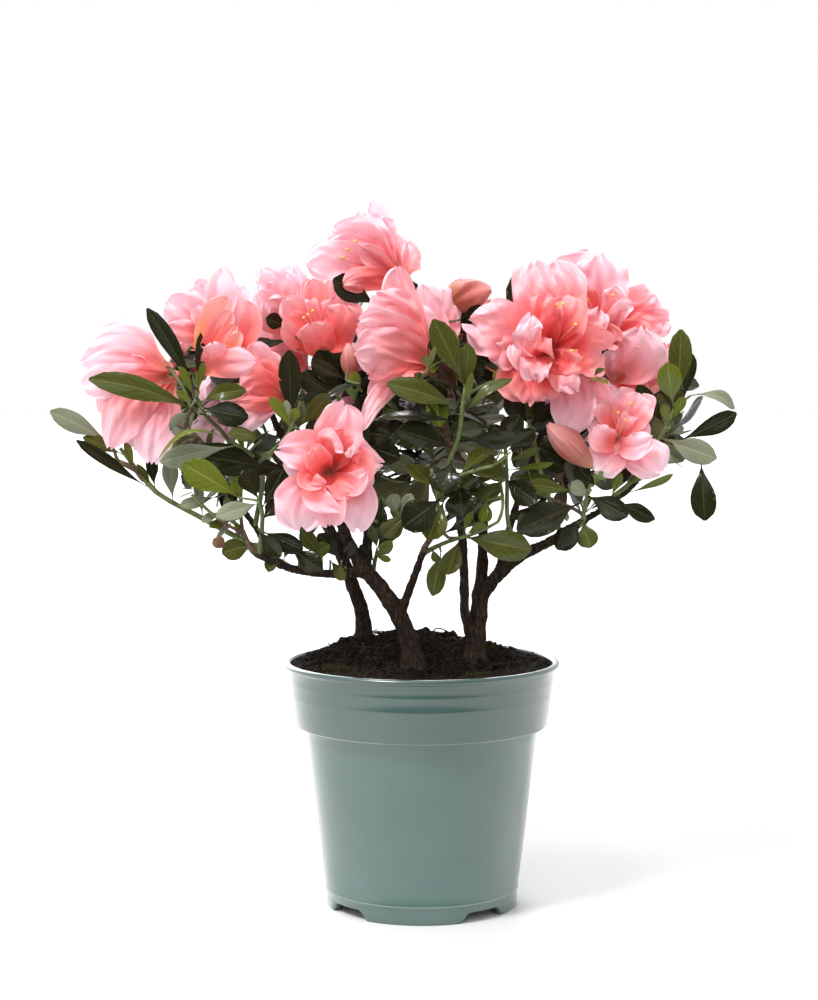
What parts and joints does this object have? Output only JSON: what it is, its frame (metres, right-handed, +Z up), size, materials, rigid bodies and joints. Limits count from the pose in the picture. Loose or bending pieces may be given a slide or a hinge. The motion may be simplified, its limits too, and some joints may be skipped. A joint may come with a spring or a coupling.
{
  "type": "azalea shrub in a plastic pot",
  "caption": "Small flowering evergreen shrub with woody stems, leafy twigs and ruffled funnel blossom, growing in a tapered round nursery pot with a deep collar.",
  "frame": {"origin": "on the ground at the pot's axis, in the middle of the flat underside of the pot's centre foot", "axes": "+Z up along the pot's axis, -Y towards the front as pictured, +X to the right as seen from the front"},
  "size_m": [0.3148, 0.2156, 0.3258],
  "materials": {
    "pot": "satin moulded sage green plastic",
    "soil": "moist dark peat compost with fibres and moss",
    "bark": "thin rough grey-brown bark",
    "foliage": "leathery dark green leaves, slightly glossy",
    "blossom": "thin ruffled coral pink petals, paler at the edge"
  },
  "bodies": {
    "root": {"pot": "pot", "soil": "soil", "stem_left_back": "bark", "stem_front": "bark", "stem_right": "bark", "bough_left": "bark", "bough_front_left": "bark", "bough_top": "bark", "bough_low_centre": "bark", "bough_far_left": "bark", "bough_outer_left": "bark", "bough_upper_left": "bark", "bough_back_left": "bark", "bough_back_top": "bark", "bough_centre": "bark", "bough_right": "bark", "bough_back_centre": "bark", "bough_upper_right": "bark", "bough_back_right": "bark", "bough_far_right": "bark", "foliage_far_left": "foliage", "foliage_outer_left": "foliage", "foliage_upper_left": "blossom", "foliage_front_left": "foliage", "foliage_top": "blossom", "foliage_centre": "foliage", "foliage_upper_right": "blossom", "foliage_far_right": "foliage", "foliage_low_centre": "foliage", "foliage_low_left": "foliage", "foliage_low_right": "foliage", "foliage_back_left": "foliage", "foliage_back_centre": "foliage", "foliage_back_right": "foliage", "foliage_back_top": "foliage"}
  },
  "joints": []
}
